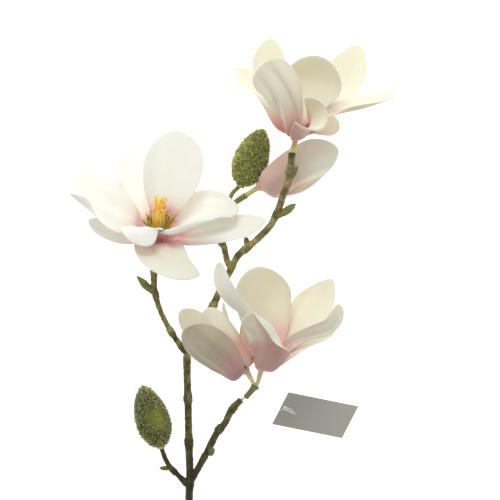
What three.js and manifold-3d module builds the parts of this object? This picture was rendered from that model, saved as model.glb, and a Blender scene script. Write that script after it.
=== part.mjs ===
// A magnolia spray of foam petals and moulded stems, lying on a table.
//
// Lengths are millimetres. The spray is drawn with the lowest fork of its main stem at
// x = 0, y = 0 and the table top at z = 0. +Y runs along the spray towards the top flower,
// +X to its right and +Z up from the table. The last lines put the origin at the middle of
// the footprint, on the table.
//
// Each petal is a sheet swept along a spine. It is broadest part of the way up, narrows to
// a claw at its root, and cups across its width. Its inner side is the one that faces the
// middle of the flower. Seen from the inner side with the tip up, right is positive.

import * as THREE from "three";
import { mergeVertices } from "three/addons/utils/BufferGeometryUtils.js";
import Module from "manifold-3d";

const wasm = await Module();
wasm.setup();

// ---- driving dimensions ------------------------------------------------------------

const SEAT = 0.3; // clearance between two pieces that touch

const PETAL_THICKNESS = 1.1;
const MARGIN_THINNING = 0.5; // share of the thickness lost at a petal's margin
const WHORL_STEP = 1.9; // height between two whorls of petals, along the flower's axis
const ROOT_RADIUS = 3.7; // from the flower's axis to a petal's root
const SHOULDER_REACH = [9, 7.6, 6.4, 5.2]; // how far each whorl runs outward before it rises
const SHOULDER_RISE = 14; // degrees
const PETAL_ACROSS = 6; // faces across a petal
const PETAL_ALONG = 7; // faces along a petal
const SPINE_STEPS = 40;
const SECTION_STEPS = 10;
const FOLD_RAMP = 0.22; // share of the half width over which a rolled margin turns
const ROLL_RAMP = 0.3; // share of the length over which a roll comes on

const STEM_SIDES = 8;
const STEM_RING = 6; // length of one ring of faces along a stem
const STEM_FRAMES = 4; // frames worked out for each ring of a stem
const NODE_LENGTH = 3; // half the length of a swelling on a stem
const LEAF_BUD_SIDES = 6;
const LEAF_BUD_ROOT = 1.5; // how far a leaf bud reaches into its twig
const FURRY_BUD_SIDES = 12;
const FURRY_BUD_RINGS = 9;

const COLUMN_RADIUS = ROOT_RADIUS - SEAT;
const COLUMN_FOOT = -1.6; // lowest point of a flower's centre, along the axis
const COLUMN_TOP = 8;
const CENTRE_SIDES = 10;
const BRUSH_HOLLOW = 1; // how far the stamens' cup dips round the pistil
const PISTIL_DOME = 3; // height over which the pistil rounds off

// ---- materials ---------------------------------------------------------------------

function finish(color, roughness) {
  return new THREE.MeshStandardMaterial({ color, roughness, metalness: 0 });
}

const materials = {
  petal: finish(0xf3ecdf, 0.6),
  bark: finish(0x6b6638, 0.7),
  pedicel: finish(0xb9b95e, 0.5),
  sleeve: finish(0x7f8f45, 0.5),
  fuzz: finish(0x6f7d3c, 0.95),
  centre: finish(0xe0902a, 0.7),
  wire: new THREE.MeshStandardMaterial({ color: 0xc8c8c8, roughness: 0.3, metalness: 1 }),
  card: finish(0x96968c, 0.8),
  string: finish(0xf0f0f0, 0.3),
};

// ---- small helpers -----------------------------------------------------------------

const vector = ([x, y, z]) => new THREE.Vector3(x, y, z);

const radians = THREE.MathUtils.degToRad;

// The value at a share from 0 to 1 of a list of values spaced evenly.
function graded(values, share) {
  const place = THREE.MathUtils.clamp(share, 0, 1) * (values.length - 1);
  const index = Math.min(Math.floor(place), values.length - 2);
  return THREE.MathUtils.lerp(values[index], values[index + 1], place - index);
}

function positionsOnly(geometry) {
  geometry.deleteAttribute("normal");
  geometry.deleteAttribute("uv");
  return mergeVertices(geometry, 1e-4);
}

function toManifold(geometry) {
  const closed = positionsOnly(geometry);
  return new wasm.Manifold(
    new wasm.Mesh({
      numProp: 3,
      vertProperties: new Float32Array(closed.attributes.position.array),
      triVerts: new Uint32Array(closed.index.array),
    }),
  );
}

function fromManifold(solid) {
  const mesh = solid.getMesh();
  const geometry = new THREE.BufferGeometry();
  geometry.setAttribute("position", new THREE.BufferAttribute(mesh.vertProperties, 3));
  geometry.setIndex(new THREE.BufferAttribute(mesh.triVerts, 1));
  return geometry;
}

// Evenly spaced frames along a curve. The normal starts as near as it can to firstNormal
// and is carried along the curve without turning about it.
function framesAlong(curve, firstNormal, steps) {
  const frames = [];
  let normal = firstNormal.clone();
  for (let step = 0; step <= steps; step += 1) {
    const point = curve.getPointAt(step / steps);
    const tangent = curve.getTangentAt(step / steps);
    normal = normal.clone().addScaledVector(tangent, -normal.dot(tangent)).normalize();
    frames.push({ point, tangent, normal });
  }
  return frames;
}

function frameAt(frames, share) {
  const place = THREE.MathUtils.clamp(share, 0, 1) * (frames.length - 1);
  const index = Math.min(Math.floor(place), frames.length - 2);
  const part = place - index;
  const low = frames[index];
  const high = frames[index + 1];
  return {
    point: low.point.clone().lerp(high.point, part),
    tangent: low.tangent.clone().lerp(high.tangent, part).normalize(),
    normal: low.normal.clone().lerp(high.normal, part).normalize(),
  };
}

// ---- petals ------------------------------------------------------------------------

// Where a point of the sheet, u from -1 to 1 across and v from 0 to 1 along, lies on the
// petal's outline: its place across as a share of half the width, and along the spine.
function onOutline(u, v, petal) {
  const claw = petal.claw / petal.width;
  if (v < petal.broad) {
    const swollen = Math.sin((Math.PI / 2) * (v / petal.broad)) ** petal.swell;
    return { across: u * (claw + (1 - claw) * swollen), along: v };
  }
  const q = (v - petal.broad) / (1 - petal.broad);
  const rise = q * Math.sqrt(1 - (u * u) / 2);
  const narrowing = 1 - petal.point * rise * rise;
  return {
    across: u * Math.sqrt(1 - (q * q) / 2) * narrowing,
    along: petal.broad + (1 - petal.broad) * rise,
  };
}

// Offset of a point from the spine, in the plane square to it. The section turns by the
// cup angle from its middle to its margin, and more near a margin that is rolled.
function onSection(across, along, petal) {
  const cup = radians(graded(petal.cup, along));
  const rolled = THREE.MathUtils.smoothstep(along, petal.rollStart, petal.rollStart + ROLL_RAMP);
  const roll = radians((across < 0 ? petal.roll[0] : petal.roll[1]) * rolled);
  let right = 0;
  let inward = 0;
  const step = across / SECTION_STEPS;
  const foldAt = (x) => THREE.MathUtils.smoothstep(Math.abs(x), petal.fold, petal.fold + FOLD_RAMP);
  const slopeAt = (x) => cup * x + roll * Math.sign(x) * foldAt(x);
  for (let i = 0; i < SECTION_STEPS; i += 1) {
    const slope = slopeAt((i + 0.5) * step);
    right += Math.cos(slope) * step;
    inward += Math.sin(slope) * step;
  }
  return { right, inward, slope: slopeAt(across) };
}

function petalSpine(flower, petal) {
  const axis = vector(flower.axis).normalize();
  const first = vector(petal.path[0]);
  const outward = first.clone().addScaledVector(axis, -first.dot(axis)).normalize();
  const root = axis.clone().multiplyScalar(petal.whorl * WHORL_STEP)
    .addScaledVector(outward, ROOT_RADIUS);
  const reach = petal.reach ?? SHOULDER_REACH[petal.whorl];
  const shoulder = root.clone()
    .addScaledVector(outward, reach * Math.cos(radians(SHOULDER_RISE)))
    .addScaledVector(axis, reach * Math.sin(radians(SHOULDER_RISE)));
  const points = [root, shoulder, ...petal.path.map(vector)];
  const curve = new THREE.CatmullRomCurve3(points, false, "centripetal");
  return framesAlong(curve, axis, SPINE_STEPS);
}

// What a petal is like where its description says nothing else. Angles are in degrees. Claw
// is its width at the root, broad how far up it is broadest, and swell how late the claw
// widens towards that place. Roll turns the left and the right margin past the fold, from
// rollStart of the way up. Lean is the share by which the right half is wider than the left.
const PETAL_HABIT = {
  whorl: 1,
  claw: 6,
  broad: 0.6,
  swell: 1.25,
  point: 0.15,
  cup: [20, 35, 20],
  twist: [0, 0],
  roll: [0, 0],
  rollStart: 0.2,
  fold: 0.6,
  lean: 0,
};

function petalGeometry(flower, described) {
  const petal = { ...PETAL_HABIT, ...described };
  const frames = petalSpine(flower, petal);
  const sheet = new THREE.BoxGeometry(2, 1, 1, PETAL_ACROSS, PETAL_ALONG, 1);
  const vertex = new THREE.Vector3();
  const places = sheet.attributes.position;
  for (let i = 0; i < places.count; i += 1) {
    vertex.fromBufferAttribute(places, i);
    const { across, along } = onOutline(vertex.x, vertex.y + 0.5, petal);
    const { right, inward, slope } = onSection(across, along, petal);
    const { point, tangent, normal } = frameAt(frames, along);
    normal.applyAxisAngle(tangent, radians(graded(petal.twist, along)));
    const side = tangent.clone().cross(normal);
    const thickness = PETAL_THICKNESS * (1 - MARGIN_THINNING * across * across);
    const half = (petal.width / 2) * (1 + petal.lean * Math.sign(across));
    point.addScaledVector(side, right * half - Math.sin(slope) * vertex.z * thickness);
    point.addScaledVector(normal, inward * half + Math.cos(slope) * vertex.z * thickness);
    places.setXYZ(i, point.x, point.y, point.z);
  }
  return positionsOnly(sheet);
}

// ---- stems and buds ----------------------------------------------------------------

// A round stem along a path. radii are spaced evenly along it, and each node is a swelling:
// how far along it stands, from 0 to 1, and how much it adds to the radius.
function stemGeometry({ path, radii, nodes = [], sides = STEM_SIDES }, grow = 0) {
  const curve = new THREE.CatmullRomCurve3(path.map(vector), false, "centripetal");
  const length = curve.getLength();
  const rings = Math.max(3, Math.round(length / STEM_RING));
  const frames = framesAlong(curve, new THREE.Vector3(0, 0, 1), rings * STEM_FRAMES);
  const radiusAt = (share) => nodes.reduce(
    (sum, [place, swelling]) =>
      sum + swelling * Math.exp(-((((share - place) * length) / NODE_LENGTH) ** 2)),
    graded(radii, share) + grow,
  );
  const tube = new THREE.CylinderGeometry(1, 1, 1, sides, rings);
  const places = tube.attributes.position;
  for (let i = 0; i < places.count; i += 1) {
    const share = places.getY(i) + 0.5;
    const { point, tangent, normal } = frameAt(frames, share);
    const side = normal.clone().cross(tangent);
    const radius = radiusAt(share);
    point.addScaledVector(normal, places.getX(i) * radius);
    point.addScaledVector(side, places.getZ(i) * radius);
    places.setXYZ(i, point.x, point.y, point.z);
  }
  return positionsOnly(tube);
}

// A solid turned about the line from one point towards another. The profile gives
// [radius, distance along the line] pairs and starts and ends on the line.
function turned(profile, from, towards, sides) {
  const points = profile.map(([radius, height]) => new THREE.Vector2(radius, height));
  const geometry = new THREE.LatheGeometry(points, sides);
  const direction = towards.clone().sub(from).normalize();
  const turn = new THREE.Quaternion().setFromUnitVectors(new THREE.Vector3(0, 1, 0), direction);
  geometry.applyQuaternion(turn);
  geometry.translate(from.x, from.y, from.z);
  return positionsOnly(geometry);
}

// A pointed leaf bud: slim at its foot, fullest below the middle.
function leafBud({ from, to, radius }) {
  const length = vector(from).distanceTo(vector(to));
  const profile = [
    [0, -LEAF_BUD_ROOT],
    [radius * 0.45, -LEAF_BUD_ROOT],
    [radius * 0.6, 0],
    [radius, length * 0.38],
    [radius * 0.72, length * 0.7],
    [0, length],
  ];
  return turned(profile, vector(from), vector(to), LEAF_BUD_SIDES);
}

// A furry flower bud: an egg with its broad end at the stalk.
function flowerBud({ from, to, radius }) {
  const length = vector(from).distanceTo(vector(to));
  const profile = [[0, 0]];
  for (let ring = 1; ring < FURRY_BUD_RINGS; ring += 1) {
    const share = ring / FURRY_BUD_RINGS;
    const swell = Math.sin(Math.PI * share ** 0.8) ** 0.55;
    profile.push([radius * swell, length * share]);
  }
  profile.push([0, length]);
  return turned(profile, vector(from), vector(to), FURRY_BUD_SIDES);
}

// ---- the stems ---------------------------------------------------------------------

const mainStem = {
  path: [
    [0.5, -87, 3.5], [0, -16, 4.5], [0.7, 2.5, 6], [0, 26, 8], [-0.6, 57, 10.5],
    [-1.2, 79, 13], [-0.6, 94, 14.5], [4, 106, 16.5], [11, 115.5, 18], [17, 125, 20],
    [22, 136, 21.8], [26.5, 145, 23.2], [30.8, 153, 24.5], [36, 163, 26.5], [42.5, 168.5, 29],
    [49, 174, 31], [59, 184.3, 34], [62.6, 190.5, 36], [65.5, 197.5, 38], [68.3, 206, 39.5],
    [71.6, 214.5, 41], [74, 228, 42.5], [74.7, 236, 43.5],
  ],
  radii: [3.2, 3.1, 2.8, 2.7, 2.7, 2.7, 2.6, 2.5, 2.5, 2.7],
  nodes: [[0.1, 0.5], [0.24, 1], [0.326, 1], [0.419, 1], [0.5, 0.4], [0.628, 1],
    [0.772, 0.9], [0.87, 0.6], [0.98, 0.6]],
};

const mainStemBuds = [
  { from: [65.5, 191, 36.5], to: [78, 200.5, 39], radius: 2.3 },
  { from: [73.5, 217, 42], to: [77.8, 225, 43.5], radius: 1.5 },
];

const mainStemStub = {
  path: [[42.5, 168.5, 29], [42, 173, 29.6], [41.6, 176, 30]],
  radii: [2, 1.9],
};

const twigs = {
  left_twig: {
    path: [
      [-0.8, 92, 14.5], [-4.5, 95.8, 15.5], [-13.4, 109, 18.5], [-20.6, 123.5, 21],
      [-24.2, 136.6, 23.5], [-24.9, 147, 25.5], [-24.8, 154, 27],
    ],
    radii: [2.3, 2.1, 2, 2, 2.1, 3],
    nodes: [[0.07, 0.7], [0.29, 0.9], [0.71, 0.8]],
    buds: [{ from: [-25.4, 135.6, 23.5], to: [-37.2, 148.2, 26], radius: 2.3 }],
    meets: ["main_stem"],
  },
  right_twig: {
    path: [
      [0.2, -2, 5.5], [3.7, 2.7, 7], [11, 15.5, 11], [15.9, 25.2, 15], [21.4, 35.6, 19],
      [26.5, 41.6, 22], [30, 49, 25], [33.8, 54.4, 27.5], [38.1, 58.7, 29.5],
    ],
    radii: [2.5, 2.4, 2.4, 2.5, 2.4],
    nodes: [[0.05, 0.7], [0.28, 0.3], [0.47, 0.5], [0.62, 1.1], [0.88, 0.9]],
    buds: [{ from: [13.4, 20.6, 13.2], to: [19.3, 20.7, 13.9], radius: 3 }],
    meets: ["main_stem"],
  },
  lower_bud_twig: {
    path: [
      [-0.5, -5, 5.5], [-6.5, 1.2, 6.5], [-13.4, 8.3, 8], [-17.3, 15.4, 10.5], [-20.1, 23.8, 12.8],
    ],
    radii: [2.1, 1.9, 1.8, 1.7],
    nodes: [[0.1, 0.7], [0.42, 0.7]],
    buds: [{ from: [-14, 7.6, 8], to: [-22, 8, 9], radius: 1.4 }],
    meets: ["main_stem"],
  },
  upper_twig: {
    path: [
      [31, 153.4, 24.6], [28.5, 158, 22.8], [26.7, 165, 20.2], [25.3, 173, 16.5],
      [25, 184, 13.8], [27.6, 195, 13.5], [31, 207, 13.8], [34.6, 211.4, 13.4],
      [37.8, 213.75, 13.1],
    ],
    radii: [2.1, 2.1, 2, 1.8, 1.5],
    nodes: [[0.1, 0.4], [0.25, 0.4], [0.6, 0.6]],
    buds: [{ from: [24.6, 168.5, 18.5], to: [21, 174.5, 18], radius: 1.2 }],
    meets: ["main_stem"],
  },
  side_flower_twig: {
    path: [[26.9, 192.5, 13.5], [30.5, 198, 14.4], [35.3, 202.5, 15.8], [41.8, 206.8, 16.2]],
    radii: [1.9, 1.9, 2.2, 2.4],
    meets: ["upper_twig"],
  },
};

// The green sleeve slides over the bare wire at the end of the right twig, and its head
// holds the two pedicels.
const forkWire = { path: [[38.5, 59.1, 29.7], [41.3, 60.6, 30.7]], radii: [0.7, 0.7], sides: 6 };

const forkSleeve = {
  path: [[41.6, 60.8, 30.8], [44.5, 64.2, 32.2], [48.4, 69, 34]],
  radii: [2.1, 2.1, 2.3, 3],
};

const pedicels = {
  top_pedicel: {
    path: [[74.8, 236.6, 43.6], [75.8, 241, 43.1], [77, 245.2, 42.9]],
    radii: [2.3, 2, 2.1],
  },
  side_pedicel: {
    path: [[42.3, 207.1, 16.4], [47, 210, 16.1], [50.2, 212, 16.1]],
    radii: [1.9, 1.8, 2],
  },
  left_pedicel: {
    path: [[-24.8, 154.4, 27.1], [-23.4, 163, 28.3], [-22.5, 173, 30.4]],
    radii: [2.3, 2.2, 2.3],
  },
  centre_pedicel: {
    path: [[50.2, 71.6, 34.6], [51.3, 75.8, 34.8], [52.5, 79.9, 35.5]],
    radii: [1.5, 1.8, 2],
  },
  half_open_pedicel: {
    path: [[46.9, 71.3, 35], [45, 74.9, 35.7], [42.9, 78.7, 36.2]],
    radii: [1.4, 1.8, 2.1],
  },
};

const furryBuds = {
  upper_bud: { from: [38, 214.2, 13.1], to: [54, 254.6, 13.1], radius: 12.7 },
  lower_bud: { from: [-20.2, 24.2, 12.8], to: [-34, 68, 12.8], radius: 12.6 },
};

// ---- the flowers -------------------------------------------------------------------

// base is where the axis meets the lowest whorl. A petal's path starts past its shoulder
// and ends at its tip, measured from the base.

const flowers = {
  left: {
    base: [-22.3, 175, 32],
    axis: [0.08, 0.8, 0.6],
    centre: { stamenRadius: 13.5, stamenTop: 21, pistilRadius: 4.8, pistilTop: 38 },
    petals: {
      back: { path: [[6, 25, -3], [12, 51, -5], [13.5, 79, -10]], width: 46, whorl: 2, broad: 0.66 },
      back_left: { path: [[-8, 20, -12], [-17.5, 42, -21], [-22, 65, -31]], width: 30, whorl: 0 },
      far_left: {
        path: [[-15.5, 11, 5], [-37, 23.5, 13], [-63, 45, 10]],
        width: 58, broad: 0.55, swell: 1.7, point: 0.25, cup: [0, 25, 20], roll: [120, 0],
        rollStart: 0.5, fold: 0.58,
      },
      low_left: {
        path: [[-20, 1.5, 5.5], [-34, 6.5, 9], [-49, 13.5, 11]],
        width: 15, whorl: 0, broad: 0.65, point: 0, twist: [0, -60, -90],
      },
      lip: {
        path: [[-8, 7, 20.5], [-10, 7, 33], [-4, -5.3, 39]],
        width: 30, whorl: 2, broad: 0.55, swell: 2.2, cup: [30, 0, -30], twist: [0, 30, 30],
      },
      upper_right: { path: [[14, 12, -5], [34, 22, -6], [59, 21, -6]], width: 30 },
      front_right: {
        path: [[11.3, 4.8, 17], [19.5, 8.4, 22.5], [34, 12.8, 25.5], [56, 15, 27]],
        width: 34, whorl: 2, broad: 0.46, swell: 0.75, cup: [100, 20, 10, 20],
        twist: [-33, 0, 0, 0], roll: [0, -110], rollStart: 0,
      },
      low_right: {
        path: [[15, 1, -3.5], [46, 5.5, -7], [78, 14, -11]],
        width: 26, whorl: 0, claw: 9.5, swell: 0.8, twist: [0, 15, 15], lean: 0.1,
      },
      hanging: {
        path: [[4.2, -3.2, 18], [7.2, -10.6, 28.5], [17, -18.8, 35.3], [31.5, -26, 38]],
        width: 36, whorl: 0, broad: 0.42, swell: 0.9, point: 0.35, cup: [20, 20, -10],
        roll: [0, -80], rollStart: 0.35, fold: 0.78, lean: 0.2, reach: 11,
      },
    },
  },
  top: {
    base: [77, 247.6, 44],
    axis: [0, 0.9, 0.44],
    centre: { stamenRadius: 5, stamenTop: 11, pistilRadius: 3, pistilTop: 14 },
    petals: {
      back_left: { path: [[-11, 22, -18], [-18, 48, -34], [-17, 75, -43]], width: 30, whorl: 0 },
      far_left: {
        path: [[-13.5, 20.5, -5], [-20, 30, -12], [-32, 39.5, -16], [-44, 51, -19]],
        width: 34,
      },
      front_left: {
        path: [[-2.5, 13, 19.5], [-11, 32, 22], [-25, 51, 15]],
        width: 33, whorl: 2, broad: 0.84, swell: 1.6, point: 0, cup: [30, 50, 25],
      },
      front: {
        path: [[11, 20, -8], [19, 40, -8], [15, 59, 2]],
        width: 54, whorl: 3, broad: 0.76, swell: 2.4, cup: [30, 45, 45],
      },
      back_right: { path: [[18.6, 20, -21.6], [36, 43, -35.5], [47, 70, -41]], width: 41, point: 0.3 },
      far_right: {
        path: [[22, 16, -3], [47, 22, -4], [74, 33, -6]],
        width: 28, whorl: 2, twist: [0, -12, -8], roll: [0, 40],
      },
      hooked: {
        path: [[7.3, 2.8, 12.8], [14.4, 7.4, 21.6], [18, 9.5, 28], [21.5, 8.5, 33]],
        width: 45, swell: 2.6, cup: [20, 115, 115], twist: [0, 65], roll: [-40, -40], fold: 0.8,
        lean: -0.12,
      },
      low_right: { path: [[15.5, 4, -8.5], [21.5, 9, -25], [27, 18.5, -36.5]], width: 25, whorl: 0 },
    },
  },
  side: {
    base: [51.9, 213.1, 16],
    axis: [0.84, 0.53, -0.05],
    centre: { stamenRadius: 4, stamenTop: 10, pistilRadius: 2.4, pistilTop: 13 },
    petals: {
      front: {
        path: [[14, 3.5, 12], [34, 15.5, 13], [57, 27, 6]],
        width: 36, whorl: 0, broad: 0.68, point: 0.4, cup: [50, 60, 40],
      },
      upper: {
        path: [[12, 11.3, 4.4], [23, 20, 5.4], [35, 28, 3]],
        width: 17, whorl: 2, cup: [40, 50, 30],
      },
      lower: { path: [[13, -7, -4], [33, -2, -8], [52, 14.5, -10]], width: 18, cup: [40, 50, 30] },
      back: {
        path: [[15, 8, -14], [32, 18, -15], [52, 29, -8]],
        width: 28, whorl: 0, cup: [50, 60, 40],
      },
      inner: {
        path: [[14, 3, -4], [29, 11, -7], [46, 21, -7]],
        width: 14, whorl: 3, cup: [40, 60, 40],
      },
    },
  },
  centre: {
    base: [53, 82, 36.5],
    axis: [0.25, 0.88, 0.4],
    centre: { stamenRadius: 6, stamenTop: 13, pistilRadius: 3.6, pistilTop: 22 },
    petals: {
      tall_left: {
        path: [[-5, 18, 5.5], [-13, 38, 11], [-24, 49, 11], [-30.5, 61, 10], [-31, 76.5, 6]],
        width: 28, whorl: 2, broad: 0.72, point: 0.2, twist: [0, 42, 62],
      },
      back: {
        path: [[4.5, 22, -11.5], [0, 46, -13.5], [-4.5, 73, -4]],
        width: 46, whorl: 3, broad: 0.66, cup: [30, 40, 35],
      },
      folded: {
        path: [[4, 13, 19], [1, 25, 24], [-14, 36, 24]],
        width: 31, broad: 0.55, cup: [40, 40, 10], roll: [-150, -25], rollStart: 0.32, fold: 0.4,
        lean: -0.2,
      },
      upper_right: {
        path: [[17, 19, -12.5], [35, 38, -19], [51.5, 64.5, -22]],
        width: 32, broad: 0.66, point: 0.5,
      },
      curled_right: {
        path: [[20, 18, 13], [37, 23.5, 15], [49, 27.5, 13], [55, 36, 10], [56, 46.5, 7]],
        width: 29, whorl: 2, broad: 0.74, twist: [-20, -20, -30, -60],
      },
      low_right: { path: [[20, 11, -9], [35, 19, -20], [53, 25, -26]], width: 18, whorl: 0 },
      back_left: { path: [[-9, 19, -16], [-5, 38, -23], [-3, 58, -24]], width: 22, whorl: 0 },
    },
  },
  half_open: {
    base: [41.2, 80.5, 36.6],
    axis: [-0.72, 0.66, 0.15],
    centre: { stamenRadius: 4, stamenTop: 10, pistilRadius: 2.4, pistilTop: 13 },
    petals: {
      front: {
        path: [[-13, 4, 12], [-29, 15, 15], [-45, 28.5, 9]],
        width: 38, whorl: 0, broad: 0.64, cup: [50, 60, 45],
      },
      right: {
        path: [[-6.3, 13.8, 6.6], [-18, 28.5, 6], [-28.5, 44.5, 4]],
        width: 23, whorl: 0, broad: 0.62, point: 0, cup: [60, 60, 40], twist: [-10, -55, -60],
        reach: 5.6,
      },
      left: { path: [[-15, 7, -8], [-30, 23, -9], [-47, 43, -4]], width: 30, cup: [40, 50, 35] },
      inner: {
        path: [[-8, 16, -2], [-11.5, 32, -5], [-16, 49, -6]],
        width: 15, whorl: 2, cup: [30, 40, 30], twist: [-45, -50, -50],
      },
      back: {
        path: [[-8, 1, -14], [-22, 13, -18], [-40, 29, -13]],
        width: 28, whorl: 0, cup: [40, 50, 35],
      },
    },
  },
};

// ---- the label ---------------------------------------------------------------------

const tag = {
  corner: [60.7, 39.5],
  along: [51.3, -10.3],
  across: [12, 23.4],
  thickness: 0.8,
  height: 0.1, // of its lower face above the table
};

const tagString = {
  path: [
    [48.6, 65.4, 31], [50.6, 63.6, 28.5], [53, 61.2, 21], [56, 58.6, 12], [59.5, 56.4, 5.5],
    [63.5, 54, 2.4], [68, 52, 1.7],
  ],
  radius: 0.35,
  steps: 26,
};

// ---- building ----------------------------------------------------------------------

function named(name, geometry, material) {
  geometry.computeVertexNormals();
  const mesh = new THREE.Mesh(geometry, material);
  mesh.name = name;
  return mesh;
}

function joined(...geometries) {
  return geometries.map(toManifold).reduce((whole, piece) => whole.add(piece));
}

function addStems(spray) {
  const bodies = { main_stem: mainStem };
  const rods = [mainStem, mainStemStub].map((stem) => stemGeometry(stem));
  const whole = joined(...rods, ...mainStemBuds.map(leafBud));
  spray.add(named("main_stem", fromManifold(whole), materials.bark));
  for (const [name, twig] of Object.entries(twigs)) {
    bodies[name] = twig;
    let solid = joined(stemGeometry(twig), ...(twig.buds ?? []).map(leafBud));
    for (const other of twig.meets) {
      solid = solid.subtract(toManifold(stemGeometry(bodies[other], SEAT)));
    }
    spray.add(named(name, fromManifold(solid), materials.bark));
  }
  spray.add(named("fork_wire", stemGeometry(forkWire), materials.wire));
  spray.add(named("fork_sleeve", stemGeometry(forkSleeve), materials.sleeve));
  for (const [name, pedicel] of Object.entries(pedicels)) {
    spray.add(named(name, stemGeometry(pedicel), materials.pedicel));
  }
}

function addBuds(spray) {
  for (const [name, bud] of Object.entries(furryBuds)) {
    spray.add(named(name, flowerBud(bud), materials.fuzz));
  }
}

// The receptacle, with the stamens as a shallow cup and the pistil as a column in it.
function centreGeometry(flower) {
  const { stamenRadius, stamenTop, pistilRadius, pistilTop } = flower.centre;
  const profile = [
    [0, COLUMN_FOOT], [COLUMN_RADIUS * 0.7, COLUMN_FOOT], [COLUMN_RADIUS, 0],
    [COLUMN_RADIUS, COLUMN_TOP], [stamenRadius, stamenTop],
    [pistilRadius, stamenTop - BRUSH_HOLLOW], [pistilRadius, pistilTop - PISTIL_DOME],
    [pistilRadius * 0.5, pistilTop], [0, pistilTop],
  ];
  return turned(profile, new THREE.Vector3(), vector(flower.axis), CENTRE_SIDES);
}

function addFlowers(spray) {
  for (const [flowerName, flower] of Object.entries(flowers)) {
    const group = new THREE.Group();
    group.position.set(...flower.base);
    group.add(named(`${flowerName}_flower_centre`, centreGeometry(flower), materials.centre));
    for (const [petalName, petal] of Object.entries(flower.petals)) {
      const name = `${flowerName}_petal_${petalName}`;
      group.add(named(name, petalGeometry(flower, petal), materials.petal));
    }
    spray.add(group);
  }
}

function addLabel(spray) {
  const [x, y] = tag.corner;
  const outline = new THREE.Shape([
    new THREE.Vector2(x, y),
    new THREE.Vector2(x + tag.along[0], y + tag.along[1]),
    new THREE.Vector2(x + tag.along[0] + tag.across[0], y + tag.along[1] + tag.across[1]),
    new THREE.Vector2(x + tag.across[0], y + tag.across[1]),
  ]);
  const card = new THREE.ExtrudeGeometry(outline, { depth: tag.thickness, bevelEnabled: false });
  card.translate(0, 0, tag.height);
  spray.add(named("tag_card", positionsOnly(card), materials.card));

  const route = new THREE.CatmullRomCurve3(tagString.path.map(vector));
  const section = new THREE.Shape().absarc(0, 0, tagString.radius, 0, Math.PI * 2);
  const sweep = { extrudePath: route, steps: tagString.steps, curveSegments: 4 };
  const string = new THREE.ExtrudeGeometry(section, sweep);
  spray.add(named("tag_string", positionsOnly(string), materials.string));
}

const group = new THREE.Group();
addStems(group);
addBuds(group);
addFlowers(group);
const box = new THREE.Box3().setFromObject(group, true); // the spray without its label
addLabel(group);

const middle = box.getCenter(new THREE.Vector3());
group.position.set(-middle.x, -middle.y, -box.min.z);

export default group;
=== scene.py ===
# A magnolia spray lying on a pale table: foam petals, moulded bark stems, flocked buds
# and a blank label on a thread.
#
# Pieces are drawn in millimetres, with the lowest fork of the main stem at x = 0, y = 0,
# and each is carried to its place in the frame as the last step of its making.

import math
import random

import bpy
import numpy as np
from mathutils import Matrix, Vector, noise


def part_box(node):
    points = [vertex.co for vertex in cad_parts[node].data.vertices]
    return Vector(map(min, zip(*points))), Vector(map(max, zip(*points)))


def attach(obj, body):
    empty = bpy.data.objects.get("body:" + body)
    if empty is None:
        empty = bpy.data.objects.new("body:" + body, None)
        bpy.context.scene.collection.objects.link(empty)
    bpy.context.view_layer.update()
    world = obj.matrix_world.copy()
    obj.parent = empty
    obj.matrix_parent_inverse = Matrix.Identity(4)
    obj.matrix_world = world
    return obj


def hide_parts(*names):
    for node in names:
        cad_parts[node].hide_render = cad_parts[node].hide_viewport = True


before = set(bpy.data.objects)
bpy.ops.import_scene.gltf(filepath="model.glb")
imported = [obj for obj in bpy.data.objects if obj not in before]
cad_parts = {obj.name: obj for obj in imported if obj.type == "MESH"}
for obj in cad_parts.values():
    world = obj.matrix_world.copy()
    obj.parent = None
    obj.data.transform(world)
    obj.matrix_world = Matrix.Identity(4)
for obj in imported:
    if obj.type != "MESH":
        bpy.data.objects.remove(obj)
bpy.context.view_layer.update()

MM = 0.001

# The label's card is drawn from this corner, so its solid says where the drawing lies.
LABEL_CORNER = Vector((60.7, 29.2, 0.1))
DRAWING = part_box("tag_card")[0] - LABEL_CORNER * MM


# ---- lines and frames ----

SPAN_SAMPLES = 60  # of the dense line between two given points
SKEW = (0.3, 0.5, 0.81)  # a direction that no fibre or rod follows


def smooth_line(points, count):
    """Evenly spaced points on a centripetal spline through the given ones, as an array."""
    p = np.array(points, float)
    p = np.vstack([2 * p[0] - p[1], p, 2 * p[-1] - p[-2]])
    dense = []
    for i in range(1, len(p) - 2):
        spans = np.diff(p[i - 1 : i + 3], axis=0)
        d0, d1, d2 = (np.dot(span, span) ** 0.25 for span in spans)
        t1 = (spans[0] / d0 - (p[i + 1] - p[i - 1]) / (d0 + d1) + spans[1] / d1) * d1
        t2 = (spans[1] / d1 - (p[i + 2] - p[i]) / (d1 + d2) + spans[2] / d2) * d1
        s = np.linspace(0, 1, SPAN_SAMPLES, endpoint=False)[:, None]
        rise = spans[1]
        dense.append(p[i] + t1 * s + (3 * rise - 2 * t1 - t2) * s**2 + (t1 + t2 - 2 * rise) * s**3)
    dense = np.vstack(dense + [p[-2][None, :]])
    along = np.concatenate([[0], np.cumsum(np.linalg.norm(np.diff(dense, axis=0), axis=1))])
    places = np.linspace(0, along[-1], count)
    return np.stack([np.interp(places, along, column) for column in dense.T], axis=1)


def unit(rows):
    return rows / np.maximum(np.linalg.norm(rows, axis=-1, keepdims=True), 1e-9)


def carried_frames(line, first_normal):
    """Tangents, and normals that follow the line without turning about it."""
    tangents = unit(np.gradient(line, axis=0))
    normals = np.zeros_like(line)
    normal = np.array(first_normal, float)
    for i, tangent in enumerate(tangents):
        normal = unit(normal - tangent * np.dot(normal, tangent))
        normals[i] = normal
    return tangents, normals


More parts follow.
